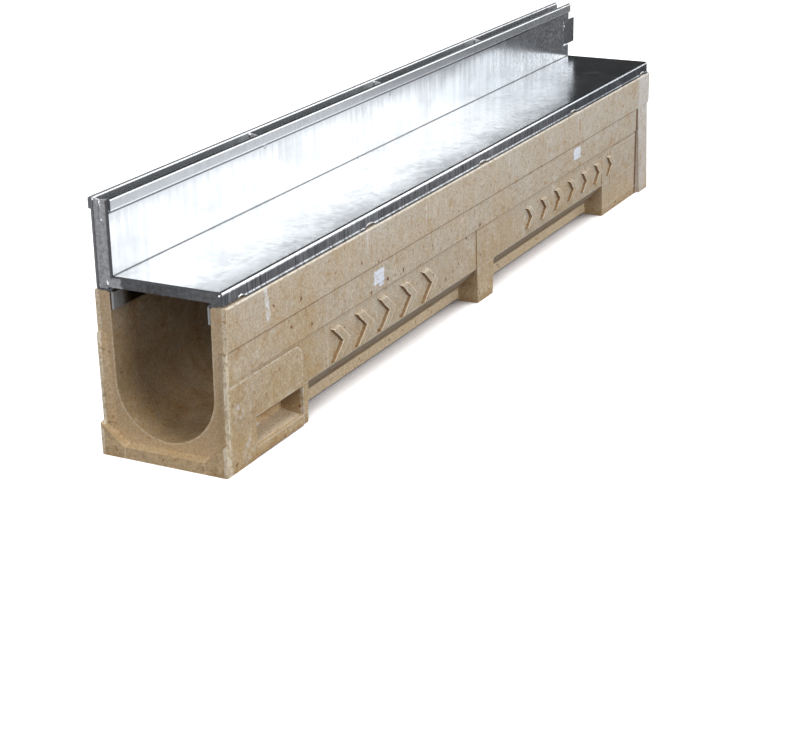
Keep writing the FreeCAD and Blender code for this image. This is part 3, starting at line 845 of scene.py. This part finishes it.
weld_finish = weld_metal()
notch_foot, notch_rise = 0.1500, 0.0015
arches = ((-0.4770, -0.4670), (-0.2550, -0.2370), (-0.0050, 0.0130), (0.2450, 0.2630),
          (0.4740, 0.4920))                             # start and end along
for number, (arch_start, arch_end) in enumerate(arches, 1):
    t = np.linspace(0.0, 1.0, 25)
    arch = line_through(25, face_at - 0.0004, arch_start + (arch_end - arch_start) * t,
                        notch_foot + notch_rise * np.sin(math.pi * t) + 0.0002)
    weld_bead("notch_weld_%d" % number, arch, 0.0010, number * 1.7)

dot_reach = 0.0022
plate_welds = ((-0.0600, -0.4990, 0.2262), (-0.0600, -0.2500, 0.2250), (-0.0600, 0.0, 0.2250),
               (-0.0600, 0.2500, 0.2250), (0.0596, -0.4996, 0.1585))    # across, along, up
for number, (dot_across, dot_along, dot_up) in enumerate(plate_welds, 1):
    t = np.linspace(-1.0, 1.0, 13)
    dot = line_through(13, dot_across, dot_along + dot_reach * t, dot_up)
    weld_bead("plate_weld_%d" % number, dot, 0.0012, number * 2.3)

plate_face = -0.5001
drips = ((-0.0536, 0.2180, 0.2272, 0.0009), (-0.0512, 0.1515, 0.1575, 0.0012),
         (-0.0530, 0.2085, 0.2100, 0.0008))             # across, foot, head, radius
for number, (drip_across, drip_foot, drip_head, drip_radius) in enumerate(drips, 1):
    t = np.linspace(0.0, 1.0, 15)
    drip = line_through(15, drip_across + 0.0006 * np.sin(4.0 * t), plate_face,
                        drip_foot + (drip_head - drip_foot) * t)
    weld_bead("end_plate_drip_%d" % number, drip, drip_radius, number * 1.1)


# ---- Torn labels -----------------------------------------------------------------
# What is left of two blank paper labels stuck on the wall under the top band: thin
# white paper, torn at its edges and rubbed through to its brown back.

def paper():
    """Dull bluish white paper, rubbed grey and torn to its brown back in places."""
    material, tree, shader = new_material("torn_paper")
    place = object_place(tree)[0]
    greyed = ramp(tree, noise(tree, place, 330.0, 5.0, 0.7), 0.50, 0.66, 0.0, 0.65)
    colour = mix_colour(tree, greyed, tint_of(212, 217, 227), tint_of(160, 156, 160))
    torn = ramp(tree, noise(tree, place, 210.0, 4.0, 0.7), 0.60, 0.68, 0.0, 0.8)
    colour = mix_colour(tree, torn, colour, tint_of(150, 124, 92))
    feed(tree, shader.inputs["Base Color"], colour)
    shader.inputs["Roughness"].default_value = 0.7
    return material


middle_low, middle_high = 0.0640, 0.0642        # the wall at bay_top and at band_foot
paper_lift = 0.00015


def torn_label(name, start, end, low, high, seed, tearing):
    """Patch of paper on the wall below the top band.

    The grid runs from 0 to 1 both ways.  Its four sides are pushed in by sums of
    sines, which gives the tears, and it follows the lean of the wall.
    """
    u = np.linspace(0.0, 1.0, 49)
    grid_u, grid_v = np.meshgrid(u, u, indexing="ij")
    turns = np.array([3.0, 7.0, 13.0, 23.0])
    depths = np.array([0.06, 0.04, 0.03, 0.02]) * tearing

    def tear(t, shift):
        waves = np.sin(t[..., None] * turns * math.pi + shift + turns)
        return (waves * depths).sum(axis=-1)

    along = start + (end - start) * (grid_u + tear(grid_v, seed) * (1.0 - 2.0 * grid_u))
    up = low + (high - low) * (grid_v + tear(grid_u, seed + 1.7) * (1.0 - 2.0 * grid_v))
    wall = middle_low + (middle_high - middle_low) * (up - bay_top) / (band_foot - bay_top)
    points = np.stack([wall + paper_lift, along, up], axis=-1).reshape(-1, 3)
    new_piece(name, points, grid_faces(len(u), len(u)).tolist(), paper_finish,
              smooth=False)


paper_finish = paper()
torn_label("torn_label_1", -0.2425, -0.2225, 0.0900, 0.1035, 0.4, 0.5)
torn_label("torn_label_1_scrap", -0.2330, -0.2240, 0.0862, 0.0897, 3.3, 1.5)
torn_label("torn_label_2", 0.2540, 0.2750, 0.0925, 0.1060, 2.1, 0.5)


# ---- The floor -------------------------------------------------------------------
# A plain pale floor that glows a little to the camera, with painted shade close under the object,
# where less of the light reaches.

mat_edge, mat_end, floor_reach = 0.385, 0.95, 14.0


def floor_material():
    """Pale paper.  Up to the mat edge it throws little light back at the channel, as a dark
    mat would, and past it the steel mirrors it as a pale strip.  To the camera it glows a
    little, and it gets painted shade from ambient occlusion close under the object."""
    material, tree, shader = new_material("pale_floor")
    seen = tree.nodes.new("ShaderNodeLightPath").outputs["Is Camera Ray"]
    across, along, _ = object_place(tree)[1]
    beyond = both(tree, ramp(tree, across, mat_edge - 0.02, mat_edge + 0.02),
                  ramp(tree, along, mat_end + 0.3, mat_end - 0.3))
    thrown = mix_colour(tree, beyond, (0.07, 0.07, 0.075), (0.62, 0.63, 0.66))
    # painted shade under the overhangs, from ambient occlusion
    corner = tree.nodes.new("ShaderNodeAmbientOcclusion")
    corner.samples = 6
    corner.inputs["Distance"].default_value = 0.06
    open_sky = ramp(tree, corner.outputs["AO"], 0.12, 0.46)
    shown = mix_colour(tree, open_sky, (0.24, 0.21, 0.21), (0.90, 0.90, 0.90))
    feed(tree, shader.inputs["Base Color"], mix_colour(tree, seen, thrown, shown))
    # a glow seen only by the camera, dimmed where the painted shade lies
    glow = mix_colour(tree, both(tree, seen, open_sky), (0.0, 0.0, 0.0), (0.45, 0.44, 0.45))
    feed(tree, shader.inputs["Emission Color"], glow)
    shader.inputs["Emission Strength"].default_value = 1.0
    shader.inputs["Roughness"].default_value = 0.9
    shader.inputs["Specular IOR Level"].default_value = 0.1
    return material


def lay_floor():
    """One square sheet on the ground."""
    corners = [(across * floor_reach, along * floor_reach, 0.0)
               for across, along in ((-1, -1), (1, -1), (1, 1), (-1, 1))]
    mesh = bpy.data.meshes.new("floor")
    mesh.from_pydata(corners, [], [(0, 1, 2, 3)])
    mesh.update()
    piece = bpy.data.objects.new("floor", mesh)
    bpy.context.scene.collection.objects.link(piece)
    dress(piece, floor_material())


lay_floor()


# ---- Light and camera ------------------------------------------------------------
# Wide soft lights, the widest at the right and behind, so that the slot wall and the
# cover mirror it and the rest of the steel stays dark.

def soft_light(name, place, size, power):
    """Square soft light aimed at the middle of the channel."""
    lamp = bpy.data.lights.new(name, "AREA")
    lamp.shape = "SQUARE"
    lamp.size = size
    lamp.energy = power
    holder = bpy.data.objects.new(name, lamp)
    holder.location = place
    holder.visible_camera = False
    aim = Vector((0.0, 0.0, 0.1)) - Vector(place)
    holder.rotation_euler = aim.to_track_quat("-Z", "Y").to_euler()
    bpy.context.scene.collection.objects.link(holder)


soft_light("right_back_box", (2.46, 3.15, 1.35), 3.2, 68.0)
soft_light("right_box", (3.0, -0.6, 1.2), 2.0, 62.0)
soft_light("front_box", (0.3, -3.2, 1.3), 2.0, 66.0)
soft_light("top_box", (0.0, 0.2, 3.4), 3.0, 150.0)

world = bpy.data.worlds.new("studio")
world.use_nodes = True
background = world.node_tree.nodes["Background"]
background.inputs["Color"].default_value = (1.0, 1.0, 1.0, 1.0)
background.inputs["Strength"].default_value = 0.05
bpy.context.scene.world = world
bpy.context.scene.view_settings.view_transform = "Standard"

camera_data = bpy.data.cameras.new("camera")
camera_data.sensor_width = 36.0
camera_data.lens = 82.966
camera_data.clip_end = 60.0
camera = bpy.data.objects.new("camera", camera_data)
turn, lift, tilt = math.radians(27.396), math.radians(20.873), math.radians(-0.990)
rotation = (Euler((0.0, 0.0, turn)).to_matrix()
            @ Euler((math.pi / 2 - lift, 0.0, 0.0)).to_matrix()
            @ Euler((0.0, 0.0, tilt)).to_matrix())
camera.rotation_euler = rotation.to_euler()
camera.location = (0.8403, -1.69069, 0.63475)
bpy.context.scene.collection.objects.link(camera)
bpy.context.scene.camera = camera
